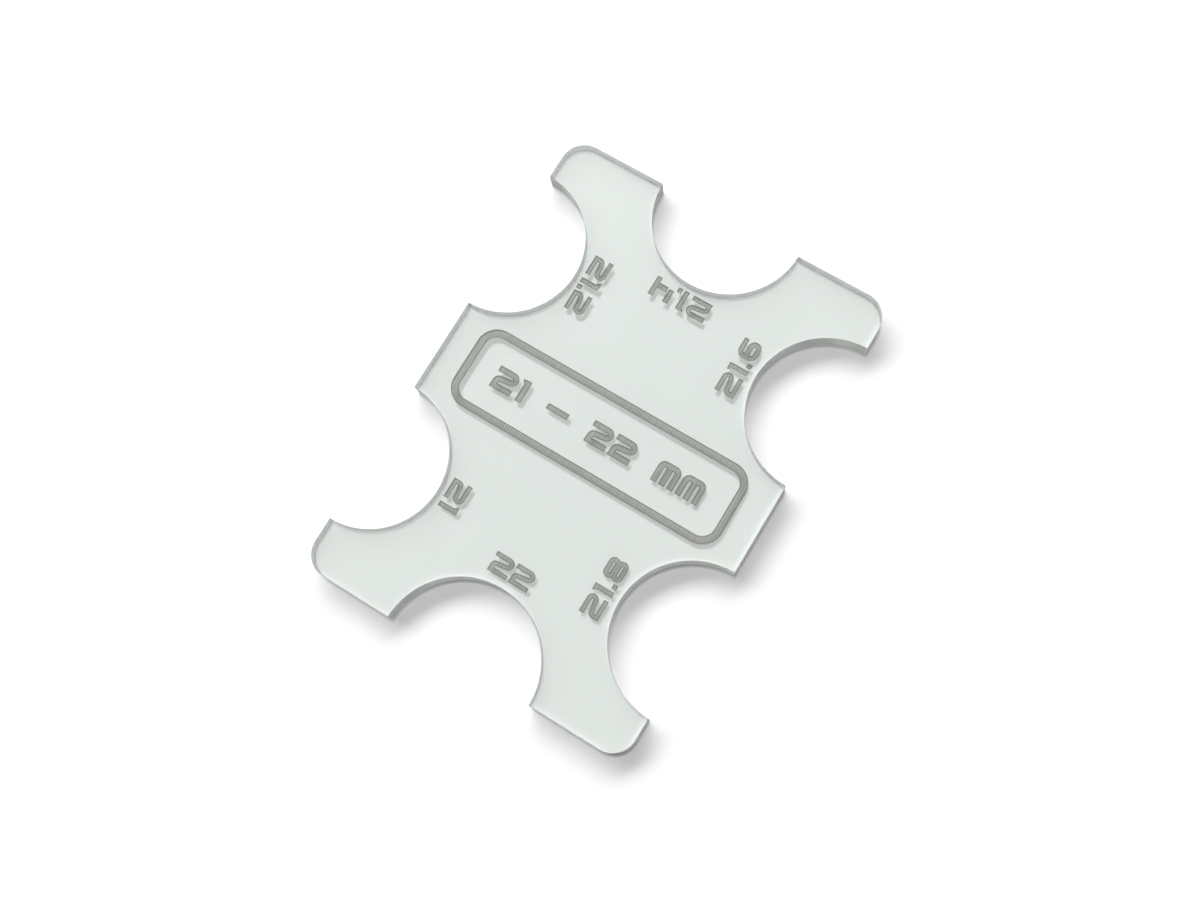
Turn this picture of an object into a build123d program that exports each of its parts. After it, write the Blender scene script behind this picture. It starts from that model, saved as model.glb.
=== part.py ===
from build123d import *
import os

# Plate gauge for the diameters of small tires: one flat plate of clear
# acrylic, cut from sheet. Six half-round notches open on its edges. A tire of
# the marked diameter just fills its notch.
#
# Millimetres. The plate lies flat with its underside on z = 0 and the Z axis
# through its middle. +Y points along the plate to the third notch, and the
# border runs along +X across the top face.

# Plate
plate_width = 50.0
plate_length = 70.0
plate_thickness = 3.0
corner_radius = 3.5

# Notches. The sizes are diameters, and each notch is one step wider than the
# one before it.
smallest_notch = 21.0
notch_step = 0.2
side_notch_spacing = 35.0

# Engraved border around the middle field
border_length = 42.0
border_height = 12.0
border_corner_radius = 3.0
border_line_width = 1.1
engraving_depth = 0.25

# Every notch has its centre on the plate's edge, so it is a full half circle
# and meets the edge at a sharp, square tip. The centres run clockwise from
# the lower left, in the order in which the notches grow.
edge_x = plate_width / 2
edge_y = plate_length / 2
side_y = side_notch_spacing / 2
notch_centres = [
    (-edge_x, -side_y),
    (-edge_x, side_y),
    (0, edge_y),
    (edge_x, side_y),
    (edge_x, -side_y),
    (0, -edge_y),
]

with BuildPart() as gauge_plate:
    # Plate with its notches
    with BuildSketch() as outline:
        RectangleRounded(plate_width, plate_length, corner_radius)
        for steps, centre in enumerate(notch_centres):
            notch_radius = (smallest_notch + steps * notch_step) / 2
            with Locations(centre):
                Circle(notch_radius, mode=Mode.SUBTRACT)
    extrude(amount=plate_thickness)

    # Border, engraved into the top face
    with BuildSketch(Plane.XY.offset(plate_thickness)) as border:
        RectangleRounded(border_length, border_height, border_corner_radius)
        offset(amount=-border_line_width, mode=Mode.SUBTRACT)
    extrude(amount=-engraving_depth, mode=Mode.SUBTRACT)

gauge_plate.part.label = "gauge_plate"

os.makedirs("parts", exist_ok=True)
export_step(gauge_plate.part, "parts/gauge_plate.step")
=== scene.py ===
import math

import bpy
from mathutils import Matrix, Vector


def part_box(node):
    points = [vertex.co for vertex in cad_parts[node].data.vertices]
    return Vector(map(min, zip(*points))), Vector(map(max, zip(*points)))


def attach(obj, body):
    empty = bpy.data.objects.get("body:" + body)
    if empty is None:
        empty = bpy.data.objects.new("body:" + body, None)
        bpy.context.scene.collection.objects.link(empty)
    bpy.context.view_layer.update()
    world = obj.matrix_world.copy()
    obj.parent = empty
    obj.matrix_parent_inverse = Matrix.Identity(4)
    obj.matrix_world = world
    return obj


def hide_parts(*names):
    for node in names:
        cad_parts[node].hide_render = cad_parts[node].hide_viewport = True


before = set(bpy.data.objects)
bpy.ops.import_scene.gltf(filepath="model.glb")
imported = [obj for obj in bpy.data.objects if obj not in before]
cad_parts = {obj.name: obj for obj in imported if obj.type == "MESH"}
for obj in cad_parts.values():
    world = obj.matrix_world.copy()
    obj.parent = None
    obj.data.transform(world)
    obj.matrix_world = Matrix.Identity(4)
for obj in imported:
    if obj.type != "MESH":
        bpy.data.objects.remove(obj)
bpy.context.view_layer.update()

bl_info = {
    "name": "Tire Diameter Gauge",
    "version": (1, 0, 0),
    "blender": (4, 5, 0),
    "location": "View3D > Sidebar > Gauge",
    "description": "Models a clear acrylic gauge plate with engraved sizes, and sets its stage",
    "category": "Object",
}

MM = 0.001
PLATE_NAME = "clear_gauge_plate"
LOW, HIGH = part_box("gauge_plate")
# The engraving's cutters, one for the whole strokes and one for what lies inside their rim
LAYERS = ("stroke_cutters", "middle_cutters")
CUTTER_HEIGHT = 1 * MM
# Corners closer together than this are one corner
SAME_PLACE = 0.0001 * MM
# Height of a character's top stroke above its middle, in millimetres of a number 2.85 mm high
LETTER_TOP = 1.09
# Turn between two facets of a round stroke, in degrees
FACET_TURN = 7.5
ACRYLIC_IOR = 1.49
# The directions in which the two lamps hang, seen from above, and their distance in metres
KEY_LIGHT_FROM = (-0.7, 0.71)
SIDE_LIGHT_FROM = (-0.83, 0.56)
LAMP_DISTANCE = 2


# Settings
class PlateSizes(bpy.types.PropertyGroup):
    """Sizes of the cut plate"""
    width: bpy.props.FloatProperty(
        name="Width", description="Short side of the plate",
        default=HIGH.x - LOW.x, unit="LENGTH", subtype="DISTANCE")
    length: bpy.props.FloatProperty(
        name="Length", description="Long side of the plate",
        default=HIGH.y - LOW.y, unit="LENGTH", subtype="DISTANCE")
    thickness: bpy.props.FloatProperty(
        name="Thickness", description="Thickness of the acrylic sheet",
        default=HIGH.z - LOW.z, unit="LENGTH", subtype="DISTANCE")
    corner_radius: bpy.props.FloatProperty(
        name="Corner Radius", description="Radius of the plate's four corners",
        default=3.5 * MM, unit="LENGTH", subtype="DISTANCE")
    smallest_notch: bpy.props.FloatProperty(
        name="Smallest Notch", description="Diameter of the smallest half-round notch",
        default=21 * MM, unit="LENGTH", subtype="DISTANCE")
    notch_step: bpy.props.FloatProperty(
        name="Notch Step", description="How much wider each notch is than the one before it",
        default=0.2 * MM, unit="LENGTH", subtype="DISTANCE")
    notch_spacing: bpy.props.FloatProperty(
        name="Notch Spacing", description="Distance between the two notches of one long side",
        default=35 * MM, unit="LENGTH", subtype="DISTANCE")
    edge_break: bpy.props.FloatProperty(
        name="Edge Break", description="Width of the tiny chamfer where a face meets the cut edge",
        default=0.03 * MM, unit="LENGTH", subtype="DISTANCE")


class EngravingSizes(bpy.types.PropertyGroup):
    """Sizes of the engraved border, numbers and range"""
    depth: bpy.props.FloatProperty(
        name="Depth", description="How deep the laser has cut into the top face",
        default=0.25 * MM, unit="LENGTH", subtype="DISTANCE")
    rim: bpy.props.FloatProperty(
        name="Rim", description="Width of the darker line that the laser runs round every stroke",
        default=0.15 * MM, unit="LENGTH", subtype="DISTANCE")
    rim_depth: bpy.props.FloatProperty(
        name="Rim Depth", description="How deep that line is",
        default=0.22 * MM, unit="LENGTH", subtype="DISTANCE")
    border_length: bpy.props.FloatProperty(
        name="Border Length", description="Outer length of the border",
        default=42 * MM, unit="LENGTH", subtype="DISTANCE")
    border_height: bpy.props.FloatProperty(
        name="Border Height", description="Outer height of the border",
        default=12 * MM, unit="LENGTH", subtype="DISTANCE")
    border_radius: bpy.props.FloatProperty(
        name="Border Radius", description="Outer radius of the border's corners",
        default=3 * MM, unit="LENGTH", subtype="DISTANCE")
    border_line: bpy.props.FloatProperty(
        name="Border Line", description="Width of the border's line",
        default=1.1 * MM, unit="LENGTH", subtype="DISTANCE")
    size_height: bpy.props.FloatProperty(
        name="Size Height", description="Height of the numbers beside the notches",
        default=2.85 * MM, unit="LENGTH", subtype="DISTANCE")
    size_stroke: bpy.props.FloatProperty(
        name="Size Stroke", description="Line width of the numbers beside the notches",
        default=0.67 * MM, unit="LENGTH", subtype="DISTANCE")
    size_gap: bpy.props.FloatProperty(
        name="Size Gap", description="Space between two characters of a size",
        default=0.3 * MM, unit="LENGTH", subtype="DISTANCE")
    notch_gap: bpy.props.FloatProperty(
        name="Notch Gap", description="Distance from a notch to the foot of its number",
        default=1.1 * MM, unit="LENGTH", subtype="DISTANCE")
    range_height: bpy.props.FloatProperty(
        name="Range Height", description="Height of the range in the middle field",
        default=3.25 * MM, unit="LENGTH", subtype="DISTANCE")
    range_stroke: bpy.props.FloatProperty(
        name="Range Stroke", description="Line width of the range in the middle field",
        default=0.85 * MM, unit="LENGTH", subtype="DISTANCE")
    word_space: bpy.props.FloatProperty(
        name="Word Space", description="Space between the parts of the range",
        default=3.0 * MM, unit="LENGTH", subtype="DISTANCE")


class AcrylicColours(bpy.types.PropertyGroup):
    """Colours of the sheet, its cut edge and the engraving"""
    sheet: bpy.props.StringProperty(
        name="Sheet", description="Tint of the clear sheet, as an sRGB hex value", default="FAFDFB")
    cut_edge: bpy.props.StringProperty(
        name="Cut Edge", description="Tint of the cut edge, as an sRGB hex value", default="D0D2CE")
    engraving_dark: bpy.props.StringProperty(
        name="Engraving Dark", description="Darker passes of the engraving, as an sRGB hex value",
        default="84837F")
    engraving_light: bpy.props.StringProperty(
        name="Engraving Light", description="Lighter passes of the engraving, as an sRGB hex value",
        default="AEADA8")
    rim_dark: bpy.props.StringProperty(
        name="Rim Dark",
        description="Darker parts of the line round the strokes, as an sRGB hex value",
        default="686864")
    rim_light: bpy.props.StringProperty(
        name="Rim Light",
        description="Lighter parts of the line round the strokes, as an sRGB hex value",
        default="83827E")
    pass_spacing: bpy.props.FloatProperty(
        name="Pass Spacing", description="Distance between two passes of the engraving laser",
        default=0.4 * MM, unit="LENGTH", subtype="DISTANCE")


class StudioStage(bpy.types.PropertyGroup):
    """Floor, lights and camera"""
    floor_size: bpy.props.FloatProperty(
        name="Floor Size", description="Side of the square floor",
        default=0.6, unit="LENGTH", subtype="DISTANCE")
    floor_colour: bpy.props.StringProperty(
        name="Floor", description="Colour of the matt white board, as an sRGB hex value",
        default="F5F5F5")
    key_power: bpy.props.FloatProperty(
        name="Key Power", description="Power of the small light nearly overhead",
        default=17.2, unit="POWER")
    side_power: bpy.props.FloatProperty(
        name="Side Power", description="Power of the broad light from the upper left",
        default=50.5, unit="POWER")
    room_light: bpy.props.FloatProperty(
        name="Room Light", description="Strength of the even light from all round", default=0.05)
    wall_light: bpy.props.FloatProperty(
        name="Wall Light",
        description="Strength of the light from the white walls low down all round",
        default=1.0)
    glow: bpy.props.FloatProperty(
        name="Glow", description="Strength of the soft glow in the room's upper left", default=0.7)
    camera_place: bpy.props.FloatVectorProperty(
        name="Camera Place", description="Where the camera stands",
        default=(0.03284, -0.02658, 0.17896), size=3, unit="LENGTH", subtype="XYZ")
    camera_turn: bpy.props.FloatVectorProperty(
        name="Camera Turn", description="How the camera is turned",
        default=(math.radians(12.048), math.radians(4.477), math.radians(31.436)),
        size=3, unit="ROTATION", subtype="EULER")
    camera_lens: bpy.props.FloatProperty(
        name="Lens", description="Focal length of the camera in millimetres", default=40.63)


# Small helpers
def alone(obj):
    """Selects this object and nothing else."""
    if bpy.context.object and bpy.context.object.mode != "OBJECT":
        bpy.ops.object.mode_set(mode="OBJECT")
    bpy.ops.object.select_all(action="DESELECT")
    obj.select_set(True)
    bpy.context.view_layer.objects.active = obj


def pick(obj, edges=None, faces=None):
    """Goes into edit mode with just the edges or faces selected that the test picks out."""
    alone(obj)
    bpy.ops.object.mode_set(mode="EDIT")
    bpy.ops.mesh.select_mode(type="EDGE" if edges else "FACE")
    bpy.ops.mesh.select_all(action="DESELECT")
    bpy.ops.object.mode_set(mode="OBJECT")
    mesh = obj.data
    count = 0
    if edges:
        for edge in mesh.edges:
            a, b = (mesh.vertices[i].co for i in edge.vertices)
            edge.select = bool(edges(a, b))
            count += edge.select
    if faces:
        for face in mesh.polygons:
            face.select = bool(faces(face))
            count += face.select
    if not count:
        raise RuntimeError(f"nothing on {obj.name} matches the place that was asked for")
    bpy.ops.object.mode_set(mode="EDIT")


def settle(obj):
    """Puts the object's place, turn and scale into its mesh, and leaves it at the origin."""
    alone(obj)
    bpy.ops.object.transform_apply(location=True, rotation=True, scale=True)


def combine(target, tool, operation):
    """Cuts the tool's space out of the target, or adds it, and removes the tool."""
    before = len(target.data.polygons)
    alone(target)
    step = target.modifiers.new("Combine", "BOOLEAN")
    step.operation = operation
    step.solver = "EXACT"
    step.object = tool
    bpy.ops.object.modifier_apply(modifier=step.name)
    if len(target.data.polygons) < before:
        raise RuntimeError(f"{tool.name} didn't combine with {target.name}")
    bpy.data.objects.remove(tool, do_unlink=True)


def joined(pieces):
    """Several objects as one."""
    alone(pieces[0])
    for piece in pieces:
        piece.select_set(True)
    bpy.ops.object.join()
    return bpy.context.object


def gauge_plate():
    """The plate made by the first operator."""
    plate = bpy.data.objects.get(PLATE_NAME)
    if plate is None:
        raise RuntimeError("cut the plate first")
    return plate


def in_millimetres(length):
    """A length as it is engraved, with a decimal only where it needs one."""
    return f"{length / MM:.1f}".removesuffix(".0")


def notch_places(sizes):
    """Centre, radius and inward direction of each notch, from the smallest and clockwise."""
    x = sizes.width / 2
    y = sizes.length / 2
    side = sizes.notch_spacing / 2
    centres = [(-x, -side), (-x, side), (0, y), (x, side), (x, -side), (0, -y)]
    inward = [(1, 0), (1, 0), (0, -1), (-1, 0), (-1, 0), (0, 1)]
    radii = [(sizes.smallest_notch + i * sizes.notch_step) / 2 for i in range(len(centres))]
    return [(Vector(c), r, Vector(d)) for c, r, d in zip(centres, radii, inward)]


def add_rounded_slab(name, width, height, radius, low, high, segments=24):
    """A block with four round corners, its middle on the z axis, from height low to height high."""
    bpy.ops.object.select_all(action="DESELECT")
    bpy.ops.mesh.primitive_cube_add(
        size=1, location=(0, 0, (low + high) / 2), scale=(width, height, high - low))
    slab = bpy.context.object
    slab.name = name
    settle(slab)
    pick(slab, edges=lambda a, b: abs(a.z - b.z) > (high - low) / 2)
    bpy.ops.mesh.bevel(offset=radius, segments=segments, affect="EDGES")
    bpy.ops.object.mode_set(mode="OBJECT")
    return slab


# Engraved characters
def thicken(flat):
    """Makes a flat stroke a solid cutter."""
    alone(flat)
    bpy.ops.object.mode_set(mode="EDIT")
    bpy.ops.mesh.select_all(action="SELECT")
    bpy.ops.mesh.extrude_region_move(TRANSFORM_OT_translate={"value": (0, 0, CUTTER_HEIGHT)})
    bpy.ops.mesh.select_all(action="SELECT")
    bpy.ops.mesh.normals_make_consistent(inside=False)
    bpy.ops.object.mode_set(mode="OBJECT")
    return flat


def draw_stroke(start, heading, moves, width, rim):
    """One engraved stroke: a flat band that starts at a point and then runs straight or turns.

    A move is ("run", length) or ("turn", radius, degrees); a turn to the left is positive. The rim
    is how much the band keeps away from the stroke's outline on both sides and at both ends.
    """
    angle = math.radians(heading)
    ahead = Vector((math.cos(angle), math.sin(angle)))
    # A stroke that closes on itself has no ends to keep away from
    closed = sum(move[2] for move in moves if move[0] == "turn") in (360, -360)
    trim = 0 if closed else rim
    runs = [list(move) for move in moves]
    runs[0][1] -= trim
    if runs[-1][0] == "run":
        runs[-1][1] -= trim
    pen = Vector(start) + ahead * trim
    first = runs[0][1]
    middle = pen + ahead * first / 2
    bpy.ops.object.select_all(action="DESELECT")
    bpy.ops.mesh.primitive_plane_add(
        size=1, location=(middle.x, middle.y, 0), rotation=(0, 0, angle))
    band = bpy.context.object
    band.scale = (first, width - 2 * rim, 1)
    settle(band)
    pen = pen + ahead * first

    def at_far_end(a, b):
        return max(abs((end.xy - pen).dot(ahead)) for end in (a, b)) < SAME_PLACE

    pick(band, edges=at_far_end)
    for move in runs[1:]:
        if move[0] == "run":
            step = ahead * move[1]
            bpy.ops.mesh.extrude_region_move(
                TRANSFORM_OT_translate={"value": (step.x, step.y, 0)})
            pen = pen + step
        else:
            turn = math.radians(move[2])
            side = math.copysign(1, turn)
            centre = pen + Vector((-ahead.y, ahead.x)) * side * move[1]
            facets = max(2, round(abs(move[2]) / FACET_TURN))
            # The spin operator counts clockwise as positive
            bpy.ops.mesh.spin(
                steps=facets, angle=-turn, center=(centre.x, centre.y, 0), axis=(0, 0, 1))
            angle += turn
            ahead = Vector((math.cos(angle), math.sin(angle)))
            pen = centre - Vector((-ahead.y, ahead.x)) * side * move[1]
    bpy.ops.mesh.select_all(action="SELECT")
    bpy.ops.mesh.remove_doubles(threshold=SAME_PLACE)
    bpy.ops.object.mode_set(mode="OBJECT")
    if min((v.co.xy - pen).length for v in band.data.vertices) > width:
        raise RuntimeError("a stroke doesn't end where its moves lead")
    return thicken(band)


def add_wedge(points):
    """A flat four-cornered patch, for the flag of a figure one."""
    bpy.ops.object.select_all(action="DESELECT")
    bpy.ops.mesh.primitive_plane_add(size=1)
    patch = bpy.context.object
    for vertex, point in zip(patch.data.vertices, points):
        vertex.co = (point[0], point[1], 0)
    return thicken(patch)


def strokes_of(character, scale, width, rim):
    """The strokes of one character, drawn round the origin.

    Lengths are in s, which is one millimetre of a number that stands 2.85 mm high.
    """
    s = scale * MM
    top = LETTER_TOP * s
    half = width / 2
    # A small distance that keeps two outlines from meeting exactly
    nip = 0.03 * s
    # The sharpest bend that a stroke can take
    tight = half + nip

    def stroke(x, y, heading, moves, weight=1.0):
        return draw_stroke((x, y), heading, moves, width * weight, rim)

    if character == "2":
        # Long enough to end just over the left end of the foot
        slope = 2.2 * s - half - 0.87 * tight
        return [
            stroke(-1.5 * s, top, 0, [("run", 2.12 * s), ("turn", 0.49 * s, -172), ("run", slope),
                                      ("turn", tight, 82), ("run", 0.6 * s)]),
            stroke(-1.5 * s, -top, 0, [("run", 2.9 * s)]),
        ]
    if character == "1":
        tip = top + half
        edge = -0.33 * s - half
        bar = stroke(-0.33 * s, -tip, 90, [("run", 2 * tip)], 1.06)
        flag = [(edge - 0.3 * s + rim, tip - 0.3 * s + rim / 2), (edge + half, tip - 1.1 * s + rim),
                (edge - 0.38 * s + rim, tip - nip - rim), (edge + half, tip - nip - rim)]
        return [bar, add_wedge(flag)]
    if character == "4":
        return [
            stroke(0.73 * s, top + half, -90, [("run", 2 * (top + half))], 1.1),
            stroke(-1.02 * s, -0.3 * s, 0, [("run", 1.6 * s)], 1.1),
            stroke(-1.58 * s, top + half, -90, [("run", 1.97 * s)], 1.1),
        ]
    if character == "6":
        return [
            stroke(1.25 * s, top, 180, [("run", 1.6 * s), ("turn", 0.72 * s, 90), ("run", 0.7 * s),
                                        ("turn", 0.7 * s, 90), ("run", 0.6 * s)]),
            stroke(-0.5 * s, -1.05 * s, 0, [("run", 0.95 * s), ("turn", 0.56 * s, 180),
                                            ("run", 1.4 * s)], 1.1),
        ]
    if character == "8":
        ring = 2 * [("run", 1.31 * s), ("turn", 0.46 * s, 180)]
        return [
            stroke(-0.655 * s, 0.17 * s, 0, ring),
            stroke(-0.655 * s, -top, 0, ring),
            stroke(-1.3 * s, 0, 0, [("run", 2.6 * s)], 0.75),
        ]
    if character == ".":
        return [stroke(0, -top, 0, [("run", width)])]
    if character == "-":
        return [stroke(-1.5 * s, 0, 0, [("run", 3 * s)])]
    if character == "m":
        leg = 2 * top + half - 0.49 * s
        return [
            stroke(-1.14 * s, -top - half, 90, [("run", leg), ("turn", 0.49 * s, -90),
                                                ("run", 1.3 * s), ("turn", 0.49 * s, -90),
                                                ("run", leg)]),
            stroke(0, -top - half, 90, [("run", 2 * top + 0.8 * half)]),
        ]
    raise RuntimeError(f"the engraver has no character {character!r}")


def write_line(text, height, width, gap, space, rim):
    """Characters set side by side on one line, as two cutters with their middle over the origin.

    The first cutter has the whole strokes, and the second only what lies inside their rim.
    """
    scale = (height - width) / (2 * LETTER_TOP * MM)
    pen = 0.0
    whole = []
    inner = []
    for character in text:
        if character == " ":
            pen += space
            continue
        bodies = []
        for edge in (0, rim):
            body, *others = strokes_of(character, scale, width, edge)
            for stroke in others:
                combine(body, stroke, "UNION")
            bodies.append(body)
        left = min(v.co.x for v in bodies[0].data.vertices)
        right = max(v.co.x for v in bodies[0].data.vertices)
        for body in bodies:
            body.location.x = pen - left
            settle(body)
        whole.append(bodies[0])
        inner.append(bodies[1])
        pen += right - left + gap
    lines = [joined(whole), joined(inner)]
    for line in lines:
        line.location.x = (gap - pen) / 2
        settle(line)
    return lines


def set_down(drawing, place, turn, sizes, engraving):
    """Turns a drawing's two cutters, stands them at their depths and adds them to those before."""
    for name, cutter, depth in zip(LAYERS, drawing, (engraving.rim_depth, engraving.depth)):
        cutter.location = (place.x, place.y, sizes.thickness - depth)
        cutter.rotation_euler.z = turn
        settle(cutter)
        if name in bpy.data.objects:
            cutter = joined([bpy.data.objects[name], cutter])
        cutter.name = name


# Materials
def paint(code):
    """An sRGB hex value as linear red, green, blue and alpha."""
    parts = [int(code[i:i + 2], 16) / 255 for i in (0, 2, 4)]
    return (*[p / 12.92 if p <= 0.04045 else ((p + 0.055) / 1.055) ** 2.4 for p in parts], 1)


def add_node(tree, kind, settings=None, links=None):
    """Adds one node, with its settings and with its inputs linked to other nodes' outputs."""
    node = tree.nodes.new(kind)
    for name, value in (settings or {}).items():
        if isinstance(name, str) and hasattr(node, name):
            setattr(node, name, value)
        else:
            node.inputs[name].default_value = value
    for name, output in (links or {}).items():
        tree.links.new(output, node.inputs[name])
    return node


def empty_material(name):
    """A new material with its node tree cleared."""
    material = bpy.data.materials.new(name)
    material.use_nodes = True
    material.node_tree.nodes.clear()
    return material, material.node_tree


def let_light_through(tree, surface, share):
    """Lets a share of the lamps' light pass straight through a surface, and ends the tree.

    A lamp's light would otherwise stop at clear acrylic. The share is an output that says how much
    passes at each place.
    """
    ray = add_node(tree, "ShaderNodeLightPath")
    through = add_node(tree, "ShaderNodeBsdfTransparent", None, {"Color": share})
    mixed = add_node(tree, "ShaderNodeMixShader", None,
                     {0: ray.outputs["Is Shadow Ray"], 1: surface.outputs["BSDF"],
                      2: through.outputs["BSDF"]})
    add_node(tree, "ShaderNodeOutputMaterial", None, {"Surface": mixed.outputs["Shader"]})


def painted_light_by_edge(tree, place, sizes):
    """A painted pool of light beside the lower right edges, from 0 to 1 over the underside.

    Slanting light from the side lamp meets the lower right edges from inside, and they turn it
    down. The lamps' light isn't traced that way, so this mask paints it onto the floor below
    instead. A point gets some of it if the outline ends a little further along the light's way.
    """
    reach = 0.5 * MM
    onward = add_node(tree, "ShaderNodeMapping",
                      {"Location": (-SIDE_LIGHT_FROM[0] * reach, -SIDE_LIGHT_FROM[1] * reach, 0),
                       "Scale": (1, 1, 0)}, {"Vector": place})
    parts = add_node(tree, "ShaderNodeSeparateXYZ", None, {"Vector": onward.outputs["Vector"]})
    # How far the place ahead lies beyond each side, or inside each notch
    beyond = []
    for axis, half in (("X", sizes.width / 2), ("Y", sizes.length / 2)):
        from_middle = add_node(tree, "ShaderNodeMath", {"operation": "ABSOLUTE"},
                               {0: parts.outputs[axis]})
        beyond.append(add_node(tree, "ShaderNodeMath", {"operation": "SUBTRACT", 1: half},
                               {0: from_middle.outputs["Value"]}))
    for centre, radius, _inward in notch_places(sizes):
        from_centre = add_node(tree, "ShaderNodeVectorMath",
                               {"operation": "DISTANCE", 1: (centre.x, centre.y, 0)},
                               {0: onward.outputs["Vector"]})
        beyond.append(add_node(tree, "ShaderNodeMath", {"operation": "SUBTRACT", 0: radius},
                               {1: from_centre.outputs["Value"]}))
    most = beyond[0]
    for other in beyond[1:]:
        most = add_node(tree, "ShaderNodeMath", {"operation": "MAXIMUM"},
                        {0: most.outputs["Value"], 1: other.outputs["Value"]})
    near = add_node(tree, "ShaderNodeMapRange",
                    {"interpolation_type": "SMOOTHSTEP", "From Min": -reach, "From Max": reach},
                    {"Value": most.outputs["Value"]})
    height = add_node(tree, "ShaderNodeSeparateXYZ", None, {"Vector": place})
    low = add_node(tree, "ShaderNodeMath", {"operation": "LESS_THAN", 1: sizes.thickness / 2},
                   {0: height.outputs["Z"]})
    return add_node(tree, "ShaderNodeMath", {"operation": "MULTIPLY"},
                    {0: near.outputs["Result"], 1: low.outputs["Value"]}).outputs["Value"]


def clear_cast_acrylic(colours, sizes):
    """Cast acrylic sheet, as it comes from the mould: clear as glass, glossy and faintly green.

    The eye gets mirror-sharp reflections that the slight waviness of a cast face bends a little.
    """
    material, tree = empty_material("clear_cast_acrylic")
    place = add_node(tree, "ShaderNodeTexCoord")
    # Waves of a cast face, from crest to crest
    wave = 12 * MM
    waves = add_node(tree, "ShaderNodeTexNoise",
                     {"Scale": 1 / wave, "Detail": 1.0, "Roughness": 0.4},
                     {"Vector": place.outputs["Object"]})
    bend = add_node(tree, "ShaderNodeBump", {"Strength": 0.02, "Distance": 0.2 * MM},
                    {"Height": waves.outputs["Fac"]})
    acrylic = add_node(tree, "ShaderNodeBsdfPrincipled",
                       {"Base Color": paint(colours.sheet), "Roughness": 0.0,
                        "IOR": ACRYLIC_IOR, "Transmission Weight": 1.0},
                       {"Normal": bend.outputs["Normal"]})
    # Each face keeps back some light, and least of the green. Along the lower right edges, painted
    # light comes on top: more than all the lamps' light passes the underside there, standing for
    # the light that the edges turn down.
    through_face = (0.84, 0.854, 0.845, 1)
    painted_edge_light = (1.16, 1.16, 1.16, 1)
    share = add_node(tree, "ShaderNodeMix", {"data_type": "RGBA", 6: through_face, 7: painted_edge_light},
                     {0: painted_light_by_edge(tree, place.outputs["Object"], sizes)})
    let_light_through(tree, acrylic, share.outputs[2])
    return material


def laser_cut_edge(colours):
    """Edge of acrylic sheet, cut by a laser: melted smooth, with fine upright ribs from the beam.

    The eye gets a darker rim that breaks the light into short upright streaks.
    """
    material, tree = empty_material("laser_cut_acrylic_edge")
    place = add_node(tree, "ShaderNodeTexCoord")
    # Real ribs are about 0.1 mm apart. They are drawn wider apart, so that they show.
    rib = 0.35 * MM
    upright = add_node(tree, "ShaderNodeMapping", {"Scale": (1, 1, 0.02)},
                       {"Vector": place.outputs["Object"]})
    ribs = add_node(tree, "ShaderNodeTexNoise",
                    {"Scale": 1 / rib, "Detail": 2.0, "Roughness": 0.5},
                    {"Vector": upright.outputs["Vector"]})
    bend = add_node(tree, "ShaderNodeBump", {"Strength": 0.04, "Distance": 0.03 * MM},
                    {"Height": ribs.outputs["Fac"]})
    acrylic = add_node(tree, "ShaderNodeBsdfPrincipled",
                       {"Base Color": paint(colours.cut_edge), "Roughness": 0.4,
                        "IOR": ACRYLIC_IOR, "Transmission Weight": 0.75},
                       {"Normal": bend.outputs["Normal"]})
    # From outside, steep light slips past the edge, and slanting light is led into the sheet.
    # From inside, the edge catches most of the steep light and lets slanting light out.
    slant = add_node(tree, "ShaderNodeLayerWeight", {"Blend": 0.5})
    outside = add_node(tree, "ShaderNodeMapRange",
                       {"interpolation_type": "SMOOTHSTEP", "From Min": 0.75, "From Max": 0.93,
                        "To Min": 0.0, "To Max": 0.6}, {"Value": slant.outputs["Facing"]})
    inside = add_node(tree, "ShaderNodeMapRange",
                      {"interpolation_type": "SMOOTHSTEP", "From Min": 0.6, "From Max": 0.85,
                       "To Min": 0.8, "To Max": 0.25}, {"Value": slant.outputs["Facing"]})
    side = add_node(tree, "ShaderNodeNewGeometry")
    passing = add_node(tree, "ShaderNodeMix", {"data_type": "FLOAT"},
                       {0: side.outputs["Backfacing"], 2: outside.outputs["Result"],
                        3: inside.outputs["Result"]})
    let_light_through(tree, acrylic, passing.outputs[0])
    return material


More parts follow.
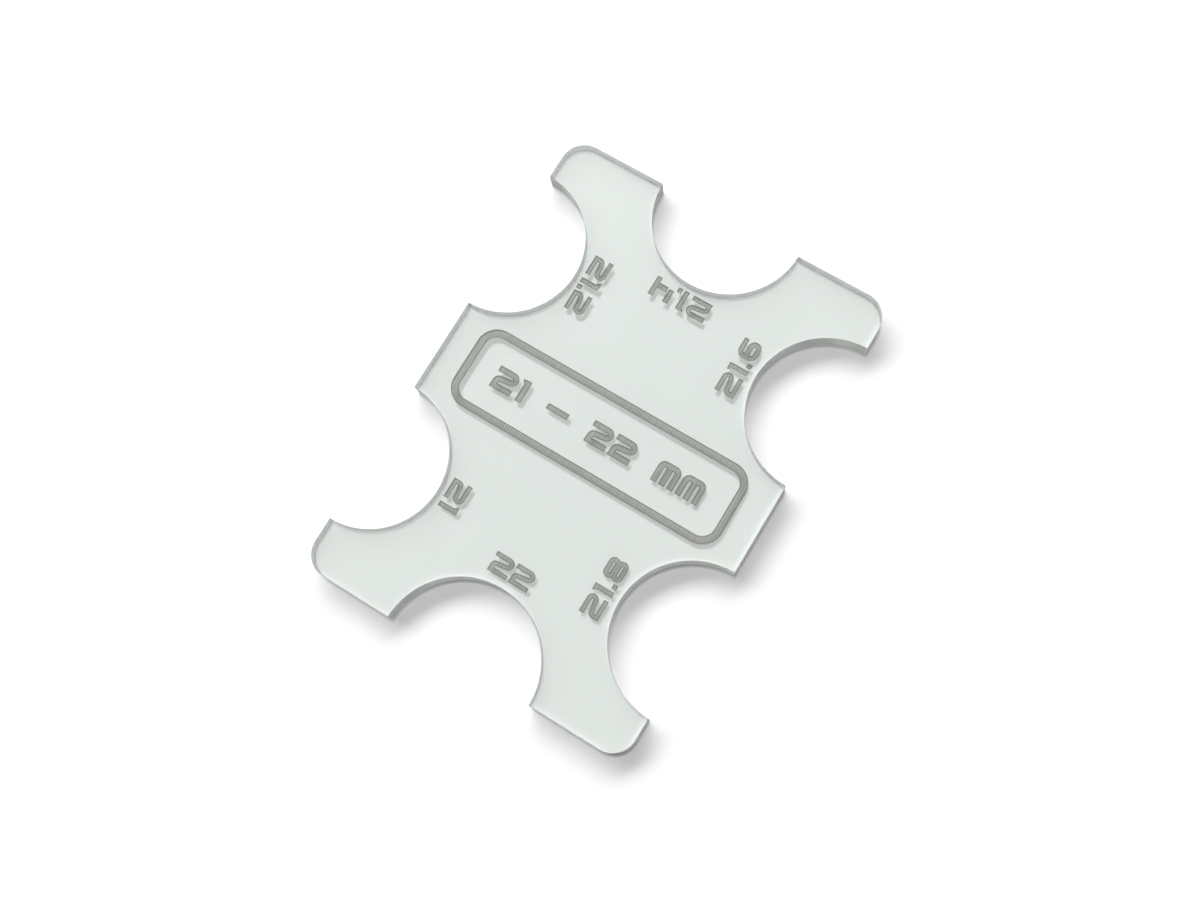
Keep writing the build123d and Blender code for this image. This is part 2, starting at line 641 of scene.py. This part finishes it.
def laser_engraving(name, dark, light, pass_spacing):
    """Acrylic engraved by a laser, pass beside pass: frosted, and drawn grey.

    The eye gets a dull grey that still lets some light through, with fine lines along the plate.
    The rim, which the beam follows once more, is drawn in darker greys.
    """
    material, tree = empty_material(name)
    place = add_node(tree, "ShaderNodeTexCoord")
    # Passes run along the plate. Real ones are about 0.1 mm apart, and these are drawn wider
    # apart, so that they show. At scale 1 the node's bands turn by 20 radians in a metre.
    passes = add_node(tree, "ShaderNodeTexWave",
                      {"wave_type": "BANDS", "bands_direction": "X", "Distortion": 0.6,
                       "Detail": 1.0, "Scale": 2 * math.pi / 20 / pass_spacing},
                      {"Vector": place.outputs["Object"]})
    stretched = add_node(tree, "ShaderNodeMapping", {"Scale": (1, 0.08, 1)},
                         {"Vector": place.outputs["Object"]})
    scorch = 0.25 * MM
    grain = add_node(tree, "ShaderNodeTexNoise",
                     {"Scale": 1 / scorch, "Detail": 2.0, "Roughness": 0.6},
                     {"Vector": stretched.outputs["Vector"]})
    both = add_node(tree, "ShaderNodeMix", {"data_type": "FLOAT", 0: 0.7},
                    {2: passes.outputs["Fac"], 3: grain.outputs["Fac"]})
    sharp = add_node(tree, "ShaderNodeMapRange", {"From Min": 0.25, "From Max": 0.75},
                     {"Value": both.outputs[0]})
    grey = add_node(tree, "ShaderNodeMix", {"data_type": "RGBA", 6: paint(dark), 7: paint(light)},
                    {0: sharp.outputs["Result"]})
    bend = add_node(tree, "ShaderNodeBump", {"Strength": 0.3, "Distance": 0.05 * MM},
                    {"Height": both.outputs[0]})
    frost = add_node(tree, "ShaderNodeBsdfPrincipled",
                     {"Roughness": 0.55, "IOR": ACRYLIC_IOR, "Transmission Weight": 0.7},
                     {"Base Color": grey.outputs[2], "Normal": bend.outputs["Normal"]})
    # The frost keeps back steep light. Slanting light is spread so wide below it that the
    # engraving throws no shadow in it, so that light passes.
    slant = add_node(tree, "ShaderNodeLayerWeight", {"Blend": 0.5})
    passing = add_node(tree, "ShaderNodeMapRange", {"From Min": 0.05, "From Max": 0.15,
                                                    "To Min": 0.06, "To Max": 0.96},
                       {"Value": slant.outputs["Facing"]})
    let_light_through(tree, frost, passing.outputs["Result"])
    return material


def light_the_room(world, stage):
    """A dim room with a soft glow from the upper left, and white walls low down all round.

    This light is no lamp, so that it reaches the floor bent by the sheet, as in life. The walls
    only show in the gloss. What the camera sees of the room directly is plain white.
    """
    world.use_nodes = True
    world.cycles.sampling_method = "NONE"
    tree = world.node_tree
    tree.nodes.clear()
    place = add_node(tree, "ShaderNodeTexCoord")
    # The glow fades out 35 degrees from its middle
    glow_middle = (-0.51, 0.49, 0.707)
    towards = add_node(tree, "ShaderNodeVectorMath", {"operation": "DOT_PRODUCT", 1: glow_middle},
                       {0: place.outputs["Generated"]})
    glow = add_node(tree, "ShaderNodeMapRange",
                    {"interpolation_type": "SMOOTHSTEP", "From Min": 0.82, "From Max": 1.0,
                     "To Min": stage.room_light, "To Max": stage.room_light + stage.glow},
                    {"Value": towards.outputs["Value"]})
    # The walls are bright up to 17 degrees above the horizon, and gone at 44 degrees
    height = add_node(tree, "ShaderNodeSeparateXYZ", None, {"Vector": place.outputs["Generated"]})
    walls = add_node(tree, "ShaderNodeMapRange",
                     {"interpolation_type": "SMOOTHSTEP", "From Min": 0.3, "From Max": 0.7,
                      "To Min": stage.wall_light, "To Max": 0.0}, {"Value": height.outputs["Z"]})
    ray = add_node(tree, "ShaderNodeLightPath")
    around = add_node(tree, "ShaderNodeMath", {"operation": "MULTIPLY_ADD"},
                      {0: walls.outputs["Result"], 1: ray.outputs["Is Glossy Ray"],
                       2: glow.outputs["Result"]})
    strength = add_node(tree, "ShaderNodeMath", {"operation": "MAXIMUM"},
                        {0: around.outputs["Value"], 1: ray.outputs["Is Camera Ray"]})
    light = add_node(tree, "ShaderNodeBackground", {"Color": (1, 1, 1, 1)},
                     {"Strength": strength.outputs["Value"]})
    add_node(tree, "ShaderNodeOutputWorld", None, {"Surface": light.outputs["Background"]})


def matt_white_board(colour, size):
    """Matt card under the gauge. The eye gets an even white with the faintest paper grain."""
    material, tree = empty_material("matt_white_board")
    place = add_node(tree, "ShaderNodeTexCoord")
    fibre = 0.6 * MM
    grain = add_node(tree, "ShaderNodeTexNoise", {"Scale": 1 / fibre, "Detail": 3.0},
                     {"Vector": place.outputs["Object"]})
    bend = add_node(tree, "ShaderNodeBump", {"Strength": 0.02, "Distance": 0.05 * MM},
                    {"Height": grain.outputs["Fac"]})
    board = add_node(tree, "ShaderNodeBsdfPrincipled",
                     {"Base Color": paint(colour), "Roughness": 0.9, "Specular IOR Level": 0.0},
                     {"Normal": bend.outputs["Normal"]})
    # The board fades into the white room towards its rim. From below it is left out, which shows
    # the plate's underside.
    away = add_node(tree, "ShaderNodeVectorMath", {"operation": "LENGTH"},
                    {0: place.outputs["Object"]})
    fading = add_node(tree, "ShaderNodeMapRange",
                      {"interpolation_type": "SMOOTHSTEP", "From Min": 0.55 * size / 2,
                       "From Max": 0.95 * size / 2}, {"Value": away.outputs["Value"]})
    side = add_node(tree, "ShaderNodeNewGeometry")
    gone = add_node(tree, "ShaderNodeMath", {"operation": "MAXIMUM"},
                    {0: fading.outputs["Result"], 1: side.outputs["Backfacing"]})
    nothing = add_node(tree, "ShaderNodeBsdfTransparent")
    seen = add_node(tree, "ShaderNodeMixShader", None,
                    {0: gone.outputs["Value"], 1: board.outputs["BSDF"],
                     2: nothing.outputs["BSDF"]})
    add_node(tree, "ShaderNodeOutputMaterial", None, {"Surface": seen.outputs["Shader"]})
    return material


# Operators
class GAUGE_OT_cut_plate(bpy.types.Operator):
    """Cuts the clear plate with its six half-round notches"""
    bl_idname = "gauge.cut_plate"
    bl_label = "Cut Plate"

    def execute(self, context):
        sizes = context.scene.gauge_plate_sizes
        plate = add_rounded_slab(PLATE_NAME, sizes.width, sizes.length, sizes.corner_radius,
                                 0, sizes.thickness)
        punches = []
        for centre, radius, _inward in notch_places(sizes):
            bpy.ops.object.select_all(action="DESELECT")
            bpy.ops.mesh.primitive_cylinder_add(
                vertices=256, radius=radius, depth=3 * sizes.thickness,
                location=(centre.x, centre.y, sizes.thickness / 2))
            punches.append(bpy.context.object)
        punch = joined(punches)
        settle(punch)
        combine(plate, punch, "DIFFERENCE")
        # Every sharp edge is broken, but not the flat angles between the facets of a curve
        alone(plate)
        broken = plate.modifiers.new("Broken edges", "BEVEL")
        broken.width = sizes.edge_break
        broken.segments = 1
        broken.limit_method = "ANGLE"
        broken.angle_limit = math.radians(60)
        bpy.ops.object.modifier_apply(modifier=broken.name)
        return {"FINISHED"}


class GAUGE_OT_draw_border(bpy.types.Operator):
    """Draws the border round the middle field"""
    bl_idname = "gauge.draw_border"
    bl_label = "Draw Border"

    def execute(self, context):
        sizes = context.scene.gauge_plate_sizes
        engraving = context.scene.gauge_engraving_sizes

        def add_block(name, inset, low, high):
            return add_rounded_slab(name, engraving.border_length - 2 * inset,
                                    engraving.border_height - 2 * inset,
                                    engraving.border_radius - inset, low, high, segments=16)

        rings = []
        for rim in (0, engraving.rim):
            ring = add_block("ring", rim, 0, CUTTER_HEIGHT)
            inside = add_block("ring_middle", engraving.border_line - rim,
                               -CUTTER_HEIGHT, 2 * CUTTER_HEIGHT)
            combine(ring, inside, "DIFFERENCE")
            rings.append(ring)
        set_down(rings, Vector((0, 0)), 0, sizes, engraving)
        return {"FINISHED"}


class GAUGE_OT_draw_sizes(bpy.types.Operator):
    """Draws each notch's diameter beside it"""
    bl_idname = "gauge.draw_sizes"
    bl_label = "Draw Sizes"

    def execute(self, context):
        sizes = context.scene.gauge_plate_sizes
        engraving = context.scene.gauge_engraving_sizes
        # How far each number stands from its notch's middle, along its own line, in millimetres
        shifts = [-0.65, 0.3, 0.07, 0.0, 0.5, 0.0]
        for (centre, radius, inward), shift in zip(notch_places(sizes), shifts):
            line = write_line(in_millimetres(2 * radius), engraving.size_height,
                              engraving.size_stroke, engraving.size_gap, 0, engraving.rim)
            along = Vector((inward.y, -inward.x))
            turn = math.atan2(along.y, along.x)
            place = centre + inward * (radius + engraving.notch_gap + engraving.size_height / 2)
            set_down(line, place + along * shift * MM, turn, sizes, engraving)
        return {"FINISHED"}


class GAUGE_OT_draw_range(bpy.types.Operator):
    """Draws the range that the gauge covers in the middle field"""
    bl_idname = "gauge.draw_range"
    bl_label = "Draw Range"

    def execute(self, context):
        sizes = context.scene.gauge_plate_sizes
        engraving = context.scene.gauge_engraving_sizes
        smallest, *_others, largest = [radius for _centre, radius, _inward in notch_places(sizes)]
        text = f"{in_millimetres(2 * smallest)} - {in_millimetres(2 * largest)} mm"
        # These larger characters stand a little wider apart, with a slightly wider rim
        gap = 1.3 * engraving.size_gap
        rim = 1.15 * engraving.rim
        line = write_line(text, engraving.range_height, engraving.range_stroke, gap,
                          engraving.word_space, rim)
        set_down(line, Vector((0, 0)), 0, sizes, engraving)
        return {"FINISHED"}


class GAUGE_OT_engrave(bpy.types.Operator):
    """Sinks everything that was drawn into the plate's top face"""
    bl_idname = "gauge.engrave"
    bl_label = "Engrave"

    def execute(self, context):
        plate = gauge_plate()
        for name in LAYERS:
            combine(plate, bpy.data.objects[name], "DIFFERENCE")
        # The two cuts leave some corners twice in the same place
        alone(plate)
        bpy.ops.object.mode_set(mode="EDIT")
        bpy.ops.mesh.select_all(action="SELECT")
        bpy.ops.mesh.remove_doubles(threshold=SAME_PLACE)
        bpy.ops.object.mode_set(mode="OBJECT")
        return {"FINISHED"}


class GAUGE_OT_finish_plate(bpy.types.Operator):
    """Gives the plate its acrylic finishes and ties it to the CAD part"""
    bl_idname = "gauge.finish_plate"
    bl_label = "Finish Plate"

    def execute(self, context):
        sizes = context.scene.gauge_plate_sizes
        engraving = context.scene.gauge_engraving_sizes
        colours = context.scene.gauge_colours
        plate = gauge_plate()
        finishes = (
            clear_cast_acrylic(colours, sizes),
            laser_cut_edge(colours),
            laser_engraving("laser_engraved_acrylic", colours.engraving_dark,
                            colours.engraving_light, colours.pass_spacing),
            laser_engraving("laser_engraved_rim", colours.rim_dark, colours.rim_light,
                            colours.pass_spacing),
        )
        for finish in finishes:
            plate.data.materials.append(finish)
        # A face is level where its corners' heights differ by less than this
        hair = 0.005 * MM
        bottom = sizes.thickness - engraving.depth
        rim_bottom = sizes.thickness - engraving.rim_depth

        def heights(face):
            return [plate.data.vertices[i].co.z for i in face.vertices]

        def lies_at(face, level):
            return level - hair < min(heights(face)) and max(heights(face)) < level + hair

        def on_cut_edge(face):
            return abs(face.normal.z) < 0.9

        def in_engraving(face):
            return lies_at(face, bottom)

        def on_rim(face):
            upright = abs(face.normal.z) < 0.1
            return lies_at(face, rim_bottom) or (upright and min(heights(face)) > bottom - hair)

        # The first test also takes the engraving's walls, which the last one gives to the rim
        for number, test in ((1, on_cut_edge), (2, in_engraving), (3, on_rim)):
            pick(plate, faces=test)
            plate.active_material_index = number
            bpy.ops.object.material_slot_assign()
            bpy.ops.object.mode_set(mode="OBJECT")
        # Smooths the facets of the curves, and leaves the edges crisp
        alone(plate)
        bpy.ops.object.shade_smooth_by_angle(angle=math.radians(30))
        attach(plate, "root")
        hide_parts("gauge_plate")
        return {"FINISHED"}


class GAUGE_OT_set_stage(bpy.types.Operator):
    """Lays the white floor, hangs the lights and places the camera"""
    bl_idname = "gauge.set_stage"
    bl_label = "Set Stage"

    def execute(self, context):
        stage = context.scene.gauge_stage
        # The floor lies just low enough not to share a plane with the underside
        bpy.ops.object.select_all(action="DESELECT")
        bpy.ops.mesh.primitive_plane_add(size=stage.floor_size, location=(0, 0, -0.03 * MM))
        floor = bpy.context.object
        floor.name = "floor"
        floor.data.materials.append(matt_white_board(stage.floor_colour, stage.floor_size))
        # Both lamps hang towards the upper left of the picture. The tilt is from straight up.
        for name, power, tilt, towards, across, high in (
                ("key_light", stage.key_power, 7.5, KEY_LIGHT_FROM, 0.26, 0.26),
                ("side_light", stage.side_power, 49, SIDE_LIGHT_FROM, 3.8, 0.85)):
            slope = math.radians(tilt)
            away = LAMP_DISTANCE * Vector((towards[0] * math.sin(slope),
                                           towards[1] * math.sin(slope), math.cos(slope)))
            bpy.ops.object.light_add(type="AREA", location=away)
            lamp = bpy.context.object
            lamp.name = name
            lamp.rotation_euler = away.to_track_quat("Z", "Y").to_euler()
            lamp.data.shape = "ELLIPSE"
            lamp.data.size = across
            lamp.data.size_y = high
            lamp.data.energy = power
            lamp.visible_glossy = False
            lamp.visible_transmission = False
        world = context.scene.world or bpy.data.worlds.new("Room")
        context.scene.world = world
        light_the_room(world, stage)
        bpy.ops.object.camera_add(location=stage.camera_place, rotation=stage.camera_turn)
        camera = bpy.context.object
        camera.name = "photo_camera"
        camera.data.sensor_width = 36
        camera.data.lens = stage.camera_lens
        camera.data.clip_start = 0.01
        camera.data.clip_end = 20
        context.scene.camera = camera
        context.scene.view_settings.view_transform = "Standard"
        context.scene.view_settings.look = "None"
        return {"FINISHED"}


class GAUGE_PT_sidebar(bpy.types.Panel):
    """Lists the steps that make the gauge"""
    bl_idname = "GAUGE_PT_sidebar"
    bl_label = "Tire Diameter Gauge"
    bl_space_type = "VIEW_3D"
    bl_region_type = "UI"
    bl_category = "Gauge"

    def draw(self, context):
        for step in STEPS:
            self.layout.operator(step.bl_idname)
        for name in SETTINGS:
            group = getattr(context.scene, name)
            box = self.layout.box()
            for key in group.__annotations__:
                box.prop(group, key)


STEPS = (GAUGE_OT_cut_plate, GAUGE_OT_draw_border, GAUGE_OT_draw_sizes, GAUGE_OT_draw_range,
         GAUGE_OT_engrave, GAUGE_OT_finish_plate, GAUGE_OT_set_stage)
SETTINGS = {
    "gauge_plate_sizes": PlateSizes,
    "gauge_engraving_sizes": EngravingSizes,
    "gauge_colours": AcrylicColours,
    "gauge_stage": StudioStage,
}


def register():
    """Registers the settings, the steps and the panel."""
    for cls in (*SETTINGS.values(), *STEPS, GAUGE_PT_sidebar):
        bpy.utils.register_class(cls)
    for name, group in SETTINGS.items():
        setattr(bpy.types.Scene, name, bpy.props.PointerProperty(type=group))


def unregister():
    """Takes them away again."""
    for name in SETTINGS:
        delattr(bpy.types.Scene, name)
    for cls in (GAUGE_PT_sidebar, *reversed(STEPS), *reversed(tuple(SETTINGS.values()))):
        bpy.utils.unregister_class(cls)


def main():
    """Makes the whole scene, step by step."""
    register()
    bpy.ops.gauge.cut_plate()
    bpy.ops.gauge.draw_border()
    bpy.ops.gauge.draw_sizes()
    bpy.ops.gauge.draw_range()
    bpy.ops.gauge.engrave()
    bpy.ops.gauge.finish_plate()
    bpy.ops.gauge.set_stage()


if __name__ == "__main__":
    main()
